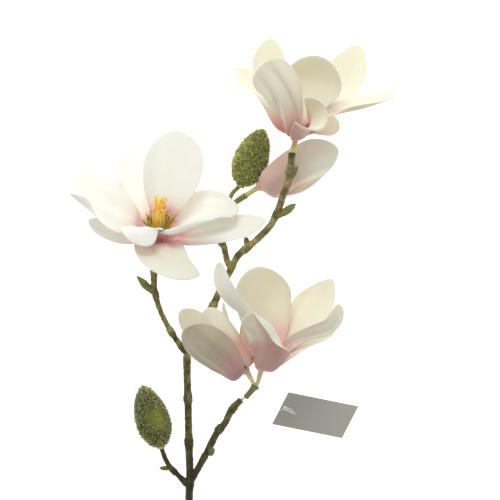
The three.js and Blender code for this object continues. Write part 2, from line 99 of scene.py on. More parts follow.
def at_share(rows, share):
    """Rows, or single numbers, of an evenly spaced list at shares from 0 to 1."""
    rows = np.asarray(rows, float)
    places = np.linspace(0, 1, len(rows))
    if rows.ndim == 1:
        return np.interp(share, places, rows)
    return np.stack([np.interp(share, places, column) for column in rows.T], axis=-1)


def smoothstep(x, low, high):
    t = np.clip((x - low) / (high - low), 0, 1)
    return t * t * (3 - 2 * t)


# ---- making and finishing pieces ----


def link(piece):
    bpy.context.scene.collection.objects.link(piece)
    return piece


def adjust(thing, **settings):
    for key, value in settings.items():
        setattr(thing, key, value)
    return thing


def clear_selection():
    bpy.ops.object.select_all(action="DESELECT")


def only(piece):
    clear_selection()
    piece.select_set(True)
    bpy.context.view_layer.objects.active = piece


def finish_modifiers(piece):
    only(piece)
    for modifier in list(piece.modifiers):
        bpy.ops.object.modifier_apply(modifier=modifier.name)


def edit(piece, operator, **settings):
    """Runs an edit mode operator on the whole of a mesh."""
    only(piece)
    bpy.ops.object.mode_set(mode="EDIT")
    bpy.ops.mesh.select_all(action="SELECT")
    operator(**settings)
    bpy.ops.object.mode_set(mode="OBJECT")


def face_outwards(piece):
    edit(piece, bpy.ops.mesh.normals_make_consistent, inside=False)


def vertex_rows(piece, key):
    """A row of three numbers for each vertex: its co or its normal."""
    rows = np.empty(len(piece.data.vertices) * 3)
    piece.data.vertices.foreach_get(key, rows)
    return rows.reshape(-1, 3)


def mesh_points(piece):
    return vertex_rows(piece, "co")


def set_points(piece, points):
    piece.data.vertices.foreach_set("co", np.asarray(points, float).reshape(-1))
    piece.data.update()


def mark(piece, attribute, values):
    """Gives each vertex a number that the material reads by the attribute's name."""
    piece.data.attributes.new(attribute, "FLOAT", "POINT").data.foreach_set("value", values)


def join(pieces, name):
    only(pieces[0])
    for piece in pieces:
        piece.select_set(True)
    bpy.ops.object.join()
    pieces[0].name = name
    pieces[0].data.name = name
    return pieces[0]


def settle(piece, node):
    """Hides the solid that a piece stands for and puts the piece in its body."""
    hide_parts(node)
    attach(piece, "root")


def deliver(piece, materials, node):
    """Carries a drawn mesh to its place in the frame and settles it, smooth, in its materials."""
    piece.data.transform(Matrix.Translation(DRAWING) @ Matrix.Scale(MM, 4))
    piece.data.update()
    for material in materials:
        piece.data.materials.append(material)
    for polygon in piece.data.polygons:
        polygon.use_smooth = True
    settle(piece, node)


# ---- materials ----

# The bark grows lighter between these two places up the frame.
DARK_BARK_Y = DRAWING.y
LIGHT_BARK_Y = DRAWING.y + 0.12


def between(first, second, share):
    return tuple(a + (b - a) * share for a, b in zip(first, second))


class Nodes:
    """A material's node tree, with short ways to add and wire its nodes."""

    def __init__(self, name, **constants):
        self.material = bpy.data.materials.new(name)
        self.material.use_nodes = True
        self.tree = self.material.node_tree
        self.shader = self.tree.nodes["Principled BSDF"]
        for socket, value in constants.items():
            self.shader.inputs[socket.replace("_", " ")].default_value = value

    def add(self, kind, inputs=(), **settings):
        node = adjust(self.tree.nodes.new(kind), **settings)
        for key, value in dict(inputs).items():
            self.feed(node.inputs[key], value)
        return node

    def feed(self, socket, value):
        if isinstance(value, bpy.types.NodeSocket):
            self.tree.links.new(value, socket)
        else:
            socket.default_value = value

    def wire(self, socket, output):
        self.feed(self.shader.inputs[socket], output)

    def place(self, which="Object"):
        return self.add("ShaderNodeTexCoord").outputs[which]

    def marked(self, attribute):
        return self.add("ShaderNodeAttribute", attribute_name=attribute).outputs["Fac"]

    def scaled(self, vector, scale):
        return self.add("ShaderNodeMapping", {"Vector": vector, "Scale": scale}).outputs[0]

    def grain(self, vector, scale, detail=3.0, roughness=0.55):
        inputs = {"Vector": vector, "Scale": scale, "Detail": detail, "Roughness": roughness}
        return self.add("ShaderNodeTexNoise", inputs).outputs["Fac"]

    def ramp(self, factor, *stops):
        node = self.add("ShaderNodeValToRGB", {"Fac": factor})
        elements = node.color_ramp.elements
        while len(elements) < len(stops):
            elements.new(0.5)
        for element, (position, color) in zip(elements, stops):
            element.position = position
            element.color = (*color, 1.0)
        return node.outputs["Color"]

    def math(self, operation, a, b=0.0):
        return self.add("ShaderNodeMath", {0: a, 1: b}, operation=operation).outputs[0]

    def times(self, a, b):
        return self.math("MULTIPLY", a, b)

    def minus(self, a, b):
        return self.math("SUBTRACT", a, b)

    def mix(self, factor, a, b, blend="MIX"):
        a, b = ((*color, 1.0) if isinstance(color, tuple) else color for color in (a, b))
        node = self.add("ShaderNodeMix", data_type="RGBA", blend_type=blend)
        for index, value in ((0, factor), (6, a), (7, b)):
            self.feed(node.inputs[index], value)
        return node.outputs[2]

    def paint(self, share, dark, light):
        self.wire("Base Color", self.ramp(share, (0.3, dark), (0.7, light)))

    def bump(self, height, strength, distance):
        inputs = {"Height": height, "Strength": strength, "Distance": distance}
        self.wire("Normal", self.add("ShaderNodeBump", inputs).outputs[0])


def petal_face(name, foot, blush, body, reach, rim):
    """One face of a petal: its body colour, blushing towards the foot from reach of the way up.

    Rim is how strongly the margins blush.
    """
    n = Nodes(
        name, Roughness=0.5, Subsurface_Weight=0.35, Subsurface_Scale=0.003, Sheen_Weight=0.05,
        Subsurface_Radius=(1.0, 0.7, 0.5), Specular_IOR_Level=0.35,
    )
    uv = n.place("UV")
    across, up = n.add("ShaderNodeSeparateXYZ", {0: uv}).outputs[:2]
    aside = n.minus(n.times(across, 2), 1)
    margin = n.math("POWER", n.math("ABSOLUTE", aside), 9)
    ribs = n.grain(n.scaled(uv, (8.0, 1.0, 1.0)), 1.2, 2.0)
    cloud = n.grain(n.place(), 45.0)
    wander = n.times(n.minus(ribs, 0.5), 0.1)
    drift = n.times(n.minus(cloud, 0.5), 0.14)
    height = n.math("ADD", n.math("ADD", up, wander), drift)
    tint = n.ramp(
        height, (0.0, foot), (reach * 0.35, between(foot, blush, 0.5)), (reach * 0.65, blush),
        (reach * 0.9, between(blush, body, 0.75)), (reach * 1.3, body),
    )
    low_margin = n.times(margin, n.minus(1, up))
    tint = n.mix(n.times(low_margin, rim), tint, blush)
    soft_cloud = n.grain(n.place(), 28.0, 2.0)
    shade = n.ramp(soft_cloud, (0.3, (0.95, 0.95, 0.92)), (0.7, (1.0, 1.0, 1.0)))
    n.wire("Base Color", n.mix(1.0, tint, shade, "MULTIPLY"))
    fine = n.grain(n.scaled(uv, (40.0, 2.0, 1.0)), 2.0, 3.0)
    grit = n.grain(n.place(), 1500.0, 2.0)
    n.bump(n.math("ADD", fine, n.times(grit, 0.25)), 0.3, 0.0005)
    return n.material


def bark_finish():
    """Mottled bark, darker towards the foot of the frame and greener on the young leaf buds."""
    n = Nodes("moulded bark", Roughness=0.55)
    place = n.place()
    patches = n.grain(place, 160.0, 4.0)
    grit = n.grain(place, 900.0)
    tone = n.math("ADD", n.times(patches, 0.65), n.times(grit, 0.35))
    colour = n.ramp(
        tone, (0.34, (0.04, 0.032, 0.008)), (0.48, (0.17, 0.15, 0.046)), (0.64, (0.46, 0.42, 0.18))
    )
    height = n.minus(n.add("ShaderNodeSeparateXYZ", {0: place}).outputs[1], DARK_BARK_Y)
    # The mottle is multiplied darker towards the foot of the frame and lighter towards its top.
    height_tone = n.ramp(
        n.times(height, 1 / (LIGHT_BARK_Y - DARK_BARK_Y)),
        (0.0, (0.17, 0.15, 0.055)), (0.35, (0.46, 0.43, 0.23)), (1.0, (1.0, 0.96, 0.84)),
    )
    height_toned = n.mix(1.0, colour, height_tone, "MULTIPLY")
    young = n.times(n.marked("young"), 0.7)
    n.wire("Base Color", n.mix(young, height_toned, (0.2, 0.215, 0.06)))
    n.bump(grit, 0.6, 0.0006)
    return n.material


def waxy(name, dark, light, roughness):
    """The smooth face of a stalk, in faint patches."""
    n = Nodes(name, Roughness=roughness)
    n.paint(n.grain(n.place(), 120.0), dark, light)
    n.bump(n.grain(n.place(), 1200.0, 2.0), 0.2, 0.0003)
    return n.material


def flock_finish(name, deep, middle, pale):
    """Fibres from deep to pale by their tone, and a yellow green where the core is bald."""
    n = Nodes(name, Roughness=0.75, Sheen_Weight=0.3)
    patches = n.times(n.grain(n.place(), 110.0), 0.25)
    share = n.math("ADD", n.times(n.marked("tone"), 0.75), patches)
    fibres = n.ramp(share, (0.12, deep), (0.5, middle), (0.85, pale))
    n.wire("Base Color", n.mix(n.marked("bald"), fibres, (0.33, 0.35, 0.04)))
    n.bump(n.grain(n.place(), 1500.0, 2.0), 0.3, 0.0003)
    return n.material


def granular(name, dark, middle, light, glow=0.0):
    """A speckled face, olive where the mesh is marked as foot."""
    # Glow is painted light: the face shines faintly by itself in its middle colour.
    n = Nodes(
        name, Roughness=0.6, Subsurface_Weight=0.15, Subsurface_Scale=0.002,
        Emission_Color=(*middle, 1.0), Emission_Strength=glow,
    )
    speckle = n.grain(n.place(), 500.0, 4.0, 0.65)
    grains = n.ramp(speckle, (0.35, dark), (0.5, middle), (0.65, light))
    n.wire("Base Color", n.mix(n.marked("foot"), grains, (0.45, 0.42, 0.04)))
    n.bump(speckle, 0.5, 0.0006)
    return n.material


def card_finish():
    n = Nodes("grey card", Roughness=0.75)
    fibre = n.grain(n.scaled(n.place(), (600.0, 2400.0, 600.0)), 1.0, 4.0)
    n.paint(fibre, (0.45, 0.455, 0.395), (0.505, 0.51, 0.445))
    n.bump(fibre, 0.15, 0.0002)
    return n.material


def bare_wire():
    n = Nodes("bare wire", Metallic=1.0, Roughness=0.3)
    scratch = n.grain(n.scaled(n.place(), (400.0, 400.0, 3000.0)), 1.0, 3.0)
    n.paint(scratch, (0.5, 0.5, 0.48), (0.72, 0.72, 0.7))
    return n.material


def thread_finish(name, clearness):
    n = Nodes(name, Roughness=0.2, Transmission_Weight=clearness)
    n.paint(n.grain(n.place(), 400.0, 2.0), (0.9, 0.9, 0.88), (0.98, 0.98, 0.96))
    return n.material


# ---- petals ----

PETAL_THICKNESS = 1.1
MARGIN_THINNING = 0.5
WHORL_STEP = 1.9
ROOT_RADIUS = 3.7
SHOULDER_REACH = (9, 7.6, 6.4, 5.2)  # how far out a petal starts to rise, by its whorl
SHOULDER_RISE = math.radians(14)
PETAL_ACROSS = 14
PETAL_ALONG = 22
SPINE_POINTS = 41
SECTION_STEPS = 10
ROLL_SPAN = 0.3  # of a petal's length, over which its roll sets in
FOLD_SPAN = 0.22  # of its half width, over which the rolled margin turns

# A petal's margin waves out of its sheet by the ripple, and its half width wavers by the
# wobble's share. The waves are how fast they do so along the petal, in radians.
MARGIN_RIPPLE = 0.7
MARGIN_WOBBLE = 0.03
RIPPLE_WAVES = 7
WOBBLE_WAVES = 9

# The lengthwise folds of a petal: how many, and their start and slant in radians.
CREASES = 3
CREASE_START = 0.6
CREASE_SLANT = 2

# What a petal is like where its description says nothing else. Angles are in degrees.
# Claw is the width at the foot, and swell how late the claw widens towards the broadest place.
# Roll turns the left and the right margin past the fold, from roll_start of the way up.
# Lean is the share by which the right half is wider than the left. Crease is the depth of
# its lengthwise folds, and flush how much further up than usual its pink comes.
PETAL_HABIT = dict(
    whorl=1, claw=6, broad=0.6, swell=1.25, point=0.15, cup=(20, 35, 20), twist=(0, 0),
    roll=(0, 0), roll_start=0.2, fold=0.6, lean=0, reach=None, crease=0.5, flush=1,
)


def petal(path, width, **habit):
    return {**PETAL_HABIT, "path": path, "width": width, **habit}


def petal_spine(flower, sheet):
    axis = unit(np.array(flower["axis"], float))
    first = np.array(sheet["path"][0], float)
    outward = unit(first - axis * np.dot(first, axis))
    root = axis * sheet["whorl"] * WHORL_STEP + outward * ROOT_RADIUS
    reach = sheet["reach"] or SHOULDER_REACH[sheet["whorl"]]
    shoulder = root + reach * (outward * math.cos(SHOULDER_RISE) + axis * math.sin(SHOULDER_RISE))
    line = smooth_line([root, shoulder, *sheet["path"]], SPINE_POINTS)
    return line, *carried_frames(line, axis)


def on_outline(u, v, sheet):
    """Where a point of the sheet lies: its share of half the width, and along the spine."""
    claw = sheet["claw"] / sheet["width"]
    broad = sheet["broad"]
    swell = np.sin(math.pi / 2 * np.minimum(v / broad, 1)) ** sheet["swell"]
    q = np.clip((v - broad) / (1 - broad), 0, 1)
    rise = q * np.sqrt(1 - u * u / 2)
    tip_across = u * np.sqrt(1 - q * q / 2) * (1 - sheet["point"] * rise * rise)
    low = v < broad
    across = np.where(low, u * (claw + (1 - claw) * swell), tip_across)
    return across, np.where(low, v, broad + (1 - broad) * rise)


def on_section(across, along, sheet):
    """Offsets of a point from the spine, to the right and inward, in half widths."""
    cup = np.radians(at_share(sheet["cup"], along))
    rolled = smoothstep(along, sheet["roll_start"], sheet["roll_start"] + ROLL_SPAN)
    roll = np.radians(np.where(across < 0, *sheet["roll"])) * rolled
    right = np.zeros_like(across)
    inward = np.zeros_like(across)
    step = across / SECTION_STEPS
    for i in range(SECTION_STEPS):
        x = (i + 0.5) * step
        folded = smoothstep(np.abs(x), sheet["fold"], sheet["fold"] + FOLD_SPAN)
        slope = cup * x + roll * np.sign(x) * folded
        right += np.cos(slope) * step
        inward += np.sin(slope) * step
    return right, inward


def petal_mesh(name, flower, sheet, phase, faces):
    """A petal as a thin closed sheet. Faces are the materials of its inner and outer face."""
    clear_selection()
    bpy.ops.mesh.primitive_grid_add(x_subdivisions=PETAL_ACROSS, y_subdivisions=PETAL_ALONG, size=2)
    piece = adjust(bpy.context.object, name=name)
    grid = mesh_points(piece)
    across, along = on_outline(grid[:, 0], (grid[:, 1] + 1) / 2, sheet)
    right, inward = on_section(across, along, sheet)
    line, tangents, normals = petal_spine(flower, sheet)
    point = at_share(line, along)
    tangent = unit(at_share(tangents, along))
    normal = unit(at_share(normals, along))
    turn = np.radians(at_share(sheet["twist"], along))[:, None]
    normal = normal * np.cos(turn) + np.cross(tangent, normal) * np.sin(turn)
    side = np.cross(tangent, normal)
    margin = np.sign(across)
    wobble = MARGIN_WOBBLE * np.sin(WOBBLE_WAVES * along + phase * margin)
    half = (sheet["width"] / 2 * (1 + sheet["lean"] * margin + wobble))[:, None]
    ripple = MARGIN_RIPPLE * across**4 * along * np.sin(RIPPLE_WAVES * along + phase + 2 * margin)
    crease = np.cos(across * CREASES * math.pi + CREASE_START + CREASE_SLANT * along)
    crease = sheet["crease"] * crease * np.sin(math.pi * along)
    point = point + side * right[:, None] * half + normal * (inward[:, None] * half)
    point = point + normal * (ripple + crease)[:, None]
    set_points(piece, point + np.array(flower["base"], float))
    for corner in piece.data.uv_layers[0].data:
        corner.uv.y /= sheet["flush"]
    body = piece.vertex_groups.new(name="body")
    for i, share in enumerate(1 - MARGIN_THINNING * across**2):
        body.add([i], float(share), "REPLACE")
    for face in faces:
        piece.data.materials.append(face)
    adjust(
        piece.modifiers.new("sheet", "SOLIDIFY"), thickness=PETAL_THICKNESS, offset=0,
        vertex_group=body.name, material_offset=1, use_quality_normals=True,
    )
    adjust(piece.modifiers.new("soft", "SUBSURF"), levels=1, render_levels=1)
    finish_modifiers(piece)
    return piece


# ---- stems ----

STEM_SIDES = 20
STEM_STEP = 0.5
NODE_LENGTH = 3
SCAR_DEPTH = 0.45  # of the ring round each swelling, as a share of it
SCAR_LENGTH = 0.7
BARK_VOXEL = 0.4
BARK_RELIEF = 0.28
BARK_GRAIN = 2.2  # size of the bark's bumps
YOUNG_REACH = 2.2  # how far from a leaf bud's middle line the bark turns green, in its radii


def ring_column(name, rings, sides):
    """A closed column of rings, one millimetre apart, to be shaped ring by ring.

    A screw without a turn makes its walls, as it orders their faces alike in every run.
    """
    clear_selection()
    bpy.ops.mesh.primitive_circle_add(vertices=sides, radius=1)
    piece = adjust(bpy.context.object, name=name)
    rise = rings - 1
    adjust(
        piece.modifiers.new("walls", "SCREW"), angle=0, steps=rise, render_steps=rise,
        screw_offset=rise,
    )
    finish_modifiers(piece)
    edit(piece, bpy.ops.mesh.fill_holes, sides=0)
    return piece


def bend(piece, line, tangents, normals, radius):
    """Bends a column of unit rings along a line, with a radius for each ring."""
    points = mesh_points(piece)
    ring = np.rint(points[:, 2]).astype(int)
    cross = np.cross(tangents, normals)
    around = normals[ring] * points[:, :1] + cross[ring] * points[:, 1:2]
    set_points(piece, line[ring] + around * radius[ring][:, None])


def stem_mesh(name, path, radii, nodes=(), start=0.0, sides=STEM_SIDES, step=STEM_STEP):
    """A closed round stem along a path, swollen at its nodes. start skips its first part."""
    length = np.linalg.norm(np.diff(np.array(path, float), axis=0), axis=1).sum()
    rings = max(6, round(length / step)) + 1
    line = smooth_line(path, rings)
    tangents, normals = carried_frames(line, (0, 0, 1))
    share = np.linspace(0, 1, rings)
    radius = at_share(radii, share)
    for place, swelling in nodes:
        away = (share - place) * length
        radius = radius + swelling * np.exp(-((away / NODE_LENGTH) ** 2))
        radius = radius - swelling * SCAR_DEPTH * np.exp(-((away / SCAR_LENGTH) ** 2))
    keep = share >= start / length
    piece = ring_column(name, int(keep.sum()), sides)
    bend(piece, *(rows[keep] for rows in (line, tangents, normals, radius)))
    face_outwards(piece)
    return piece


def turned_mesh(name, profile, start, end, sides):
    """A solid turned about the line from start to end. The profile is (radius, height) pairs."""
    piece = ring_column(name, len(profile), sides)
    points = mesh_points(piece)
    shape = np.array(profile, float)[np.rint(points[:, 2]).astype(int)]
    set_points(piece, np.column_stack([points[:, :2] * shape[:, :1], shape[:, 1]]))
    turn = (Vector(end) - Vector(start)).to_track_quat("Z", "Y").to_matrix().to_4x4()
    piece.data.transform(Matrix.Translation(Vector(start)) @ turn)
    face_outwards(piece)
    return piece


def beyond(path):
    """The end of a path and a point past it in the same direction."""
    before, end = Vector(path[-2]), Vector(path[-1])
    return end, end + (end - before)


def stem_end(path, radii):
    """A rounded cap on the far end of a stem, a little flatter than half a ball."""
    radius = radii[-1]
    bends = np.linspace(0, 0.46 * math.pi, 6)
    dome = [(radius * math.cos(a), 0.8 * radius * math.sin(a)) for a in bends]
    return turned_mesh("stem end", [(radius, -0.5), *dome], *beyond(path), STEM_SIDES)


def leaf_bud(start, end, radius):
    length = (Vector(end) - Vector(start)).length
    outline = ((0.95, 0.2), (1.25, 0.42), (1.2, 0.6), (0.9, 0.78), (0.45, 0.92))
    profile = [
        (radius * 0.4, -1.2), (radius * 0.5, 0),
        *((radius * wide, length * high) for wide, high in outline), (0.15, length),
    ]
    return turned_mesh("leaf bud", profile, start, end, 14)


def roughen(piece, size, relief):
    """Pushes a drawn mesh in and out by a seeded noise, in millimetres."""
    points = mesh_points(piece)
    push = [noise.fractal(Vector(p) / size, 0.9, 2.0, 3) for p in points]
    set_points(piece, points + vertex_rows(piece, "normal") * (relief * np.array(push))[:, None])


def youth(points, buds):
    """From 1 on a leaf bud to 0 on the bark beside it."""
    share = np.zeros(len(points))
    for start, end, radius in buds:
        axis = np.subtract(end, start)
        along = (points - start) @ axis / (axis @ axis)
        away = np.linalg.norm(points - start - along.clip(0, 1)[:, None] * axis, axis=1)
        near = np.clip(YOUNG_REACH - away / radius, 0, 1) * smoothstep(along, 0.05, 0.4)
        share = np.maximum(share, near)
    return share


def bark_piece(name, parts, buds):
    """Stems and their buds grown together under one bark."""
    piece = join(parts, name)
    adjust(piece.modifiers.new("grown together", "REMESH"), mode="VOXEL", voxel_size=BARK_VOXEL)
    adjust(piece.modifiers.new("soft", "SMOOTH"), iterations=3)
    finish_modifiers(piece)
    mark(piece, "young", youth(mesh_points(piece), buds))
    roughen(piece, BARK_GRAIN, BARK_RELIEF)
    return piece


MAIN_STEM = dict(
    path=[
        (0.5, -87, 3.5), (0, -16, 4.5), (0.7, 2.5, 6), (0, 26, 8), (-0.6, 57, 10.5), (-1.2, 79, 13),
        (-0.6, 94, 14.5), (4, 106, 16.5), (11, 115.5, 18), (17, 125, 20), (22, 136, 21.8),
        (26.5, 145, 23.2), (30.8, 153, 24.5), (36, 163, 26.5), (42.5, 168.5, 29), (49, 174, 31),
        (59, 184.3, 34), (62.6, 190.5, 36), (65.5, 197.5, 38), (68.3, 206, 39.5), (71.6, 214.5, 41),
        (74, 228, 42.5), (74.7, 236, 43.5),
    ],
    radii=(3.2, 3.1, 2.8, 2.7, 2.7, 2.7, 2.6, 2.5, 2.5, 2.7),
    nodes=(
        (0.1, 0.5), (0.24, 1), (0.326, 1), (0.419, 1), (0.5, 0.4), (0.628, 1), (0.772, 0.9),
        (0.87, 0.6), (0.965, 0.8),
    ),
)
MAIN_STEM_STUB = dict(
    path=[(42.5, 168.5, 29), (42, 173, 29.6), (41.6, 176, 30)],
    radii=(2, 1.9),
)
MAIN_STEM_BUDS = [
    ((65.5, 191, 36.5), (78, 200.5, 39), 2.3),
    ((73.5, 217, 42), (79, 227.5, 43.8), 1.5),
]

TWIGS = {}
TWIGS["left_twig"] = dict(
    path=[
        (-0.8, 92, 14.5), (-4.5, 95.8, 15.5), (-13.4, 109, 18.5), (-20.6, 123.5, 21),
        (-24.2, 136.6, 23.5), (-24.9, 147, 25.5), (-24.8, 154, 27),
    ],
    radii=(2.3, 2.1, 2, 2, 2.1, 3),
    nodes=((0.07, 0.7), (0.29, 0.9), (0.71, 0.8)),
    buds=[((-25.4, 135.6, 23.5), (-37.2, 148.2, 26), 2.3)],
)
TWIGS["right_twig"] = dict(
    path=[
        (0.2, -2, 5.5), (3.7, 2.7, 7), (11, 15.5, 11), (15.9, 25.2, 15), (21.4, 35.6, 19),
        (26.5, 41.6, 22), (30, 49, 25), (33.8, 54.4, 27.5), (38.1, 58.7, 29.5),
    ],
    radii=(2.5, 2.4, 2.4, 2.5, 2.4),
    nodes=((0.05, 0.7), (0.28, 0.3), (0.47, 0.5), (0.62, 1.1), (0.88, 0.9)),
    buds=[((13.4, 20.6, 13.2), (19.3, 20.7, 13.9), 3)],
)
TWIGS["lower_bud_twig"] = dict(
    path=[
        (-0.5, -5, 5.5), (-6.5, 1.2, 6.5), (-13.4, 8.3, 8), (-17.3, 15.4, 10.5),
        (-20.1, 23.8, 12.8),
    ],
    radii=(2.1, 1.9, 1.8, 1.7),
    nodes=((0.1, 0.7), (0.42, 0.7)),
    buds=[((-14, 7.6, 8), (-22, 8, 9), 1.4)],
)
TWIGS["upper_twig"] = dict(
    path=[
        (31, 153.4, 24.6), (28.5, 158, 22.8), (26.7, 165, 20.2), (25.3, 173, 16.5), (25, 184, 13.8),
        (27.6, 195, 13.5), (31, 207, 13.8), (34.6, 211.4, 13.4), (37.8, 213.75, 13.1),
    ],
    radii=(2.1, 2.1, 2, 1.8, 1.5),
    nodes=((0.1, 0.4), (0.25, 0.4), (0.6, 0.6)),
    buds=[((24.6, 168.5, 18.5), (21, 174.5, 18), 1.2)],
)
TWIGS["side_flower_twig"] = dict(
    path=[(26.9, 192.5, 13.5), (30.5, 198, 14.4), (35.3, 202.5, 15.8), (41.8, 206.8, 16.2)],
    radii=(1.9, 1.9, 2.2, 2.4),
    nodes=(),
    buds=[],
)
TWIG_START = 1.2  # a twig leaves its parent from inside, so this much of it is skipped

FORK_WIRE = dict(
    path=[(38.5, 59.1, 29.7), (39.9, 59.9, 30.2), (41.3, 60.6, 30.7)],
    radii=(0.7, 0.7),
)
FORK_SLEEVE = dict(
    path=[(41.6, 60.8, 30.8), (44.5, 64.2, 32.2), (48.4, 69, 34)],
    radii=(2.1, 2.1, 2.3, 3),
)
SLEEVE_HEAD = [(2.2, -2), (3, -1.2), (3.3, -0.2), (3.1, 0.6), (2.3, 1), (1, 1.1)]

# The stalk under each flower: the piece that it grows from, its path and its radii.
PEDICELS = {
    "top": (MAIN_STEM, [(74.8, 236.6, 43.6), (75.8, 241, 43.1), (77, 245.2, 42.9)], (2.3, 2, 2.1)),
    "side": (
        TWIGS["side_flower_twig"],
        [(42.3, 207.1, 16.4), (47, 210, 16.1), (50.2, 212, 16.1)], (1.9, 1.8, 2),
    ),
    "left": (
        TWIGS["left_twig"],
        [(-24.8, 154.4, 27.1), (-23.4, 163, 28.3), (-22.5, 173, 30.4)], (2.3, 2.2, 2.3),
    ),
    "centre": (
        FORK_SLEEVE, [(50.2, 71.6, 34.6), (51.3, 75.8, 34.8), (52.5, 79.9, 35.5)], (1.5, 1.8, 2),
    ),
    "half_open": (
        FORK_SLEEVE, [(46.9, 71.3, 35), (45, 74.9, 35.7), (42.9, 78.7, 36.2)], (1.4, 1.8, 2.1),
    ),
}


def make_stems():
    bark = [bark_finish()]
    parts = [stem_mesh("stem", **MAIN_STEM), stem_mesh("stub", **MAIN_STEM_STUB)]
    parts.append(stem_end(MAIN_STEM["path"], MAIN_STEM["radii"]))
    parts += [leaf_bud(*bud) for bud in MAIN_STEM_BUDS]
    deliver(bark_piece("main_stem_bark", parts, MAIN_STEM_BUDS), bark, "main_stem")
    for name, twig in TWIGS.items():
        parts = [stem_mesh(name + " rod", twig["path"], twig["radii"], twig["nodes"], TWIG_START)]
        parts += [leaf_bud(*bud) for bud in twig["buds"]]
        deliver(bark_piece(name + "_bark", parts, twig["buds"]), bark, name)


def make_joints():
    """The bare wire, the sleeve on it and the stalks under the flowers."""
    wire = stem_mesh("fork_wire_bare", **FORK_WIRE, sides=16)
    deliver(wire, [bare_wire()], "fork_wire")
    tube = stem_mesh("tube", **FORK_SLEEVE)
    head = turned_mesh("head", SLEEVE_HEAD, *beyond(FORK_SLEEVE["path"]), 24)
    green = waxy("green sleeve", (0.135, 0.155, 0.038), (0.25, 0.275, 0.085), 0.4)
    deliver(join([tube, head], "fork_sleeve_tube"), [green], "fork_sleeve")
    yellow = waxy("flower stalk", (0.52, 0.45, 0.14), (0.78, 0.72, 0.28), 0.5)
    # The stalks under the sleeve get a lighter copy of the stalk colour, painted light lifting them
    # out of shade.
    pale = waxy("lit stalk", (0.68, 0.64, 0.34), (0.88, 0.86, 0.56), 0.5)
    for flower_name, (parent, path, radii) in PEDICELS.items():
        name = flower_name + "_pedicel"
        line = [parent["path"][-1], *path, FLOWERS[flower_name]["base"]]
        piece = stem_mesh(name + "_stalk", line, (radii[0], *radii, radii[-1]))
        deliver(piece, [pale if parent is FORK_SLEEVE else yellow], name)


# ---- furry buds ----

# Each furry bud: its two ends, its radius, its frost, which is how much paler its fibres are
# towards the ends, and its fibres' colours from deep to pale.
FURRY_BUDS = {
    "upper_bud": (
        ((38, 214.2, 13.1), (54, 254.6, 13.1)), 12.7, 0.1,
        ((0.11, 0.115, 0.012), (0.47, 0.49, 0.08), (0.92, 0.93, 0.42)),
    ),
    "lower_bud": (
        ((-20.2, 24.2, 12.8), (-34, 68, 12.8)), 12.6, 0.45,
        ((0.03, 0.034, 0.004), (0.235, 0.245, 0.036), (0.8, 0.81, 0.37)),
    ),
}
BUD_COLLAR = [(1.6, -2), (2.7, -1.7), (3.1, -0.9), (2.9, -0.2), (1.8, 0)]
COLLAR_TONE = 0.35  # over the bud's frost
CORE_STEPS = 28
FLOCK_DEPTH = 0.9  # how deep the flock stands on a bud's core
FLOCK_SUNK = 0.15  # how deep a fibre's foot is sunk in the core
FLOCK_SEED = 5
FLOCK_COUNT = 6000
FLOCK_LENGTH = 1.2
FLOCK_SHARES = (0.6, 0.75, 0.9, 1.0, 1.15, 1.7)  # of that length
FLOCK_THICKNESS = 0.3
FLOCK_LEAN = 0.45
SPIKE_WIDTHS = (1.0, 1.1, 0.5)  # of a fibre from its foot to its tip

# The lower bud's thin patch: its middle and radius, the share of fibres it lacks, how much
# shorter its fibres are and how far its colour shows on them.
BALD_PATCH = ((-21.5, 45, 24.5), 14.5)
BALD_LOSS = 0.4
BALD_SHORTENING = 0.5
BALD_TINT = 0.6


def egg_radius(share):
    return math.sin(math.pi * share**0.8) ** 0.55


def bud_core(name, start, end, radius):
    length = (Vector(end) - Vector(start)).length
    profile = []
    for step in range(CORE_STEPS + 1):
        share = 0.5 - 0.5 * math.cos(math.pi * step / CORE_STEPS)
        profile.append((max(radius * egg_radius(share) - FLOCK_DEPTH, 0.2), length * share))
    piece = turned_mesh(name, profile, start, end, 40)
    roughen(piece, 4.0, 0.4)
    return piece


def baldness(points):
    """From 1 in the middle of the thin patch to 0 at its rim."""
    middle, radius = BALD_PATCH
    return np.clip(1 - np.linalg.norm(points - np.array(middle), axis=-1) / radius, 0, 1)


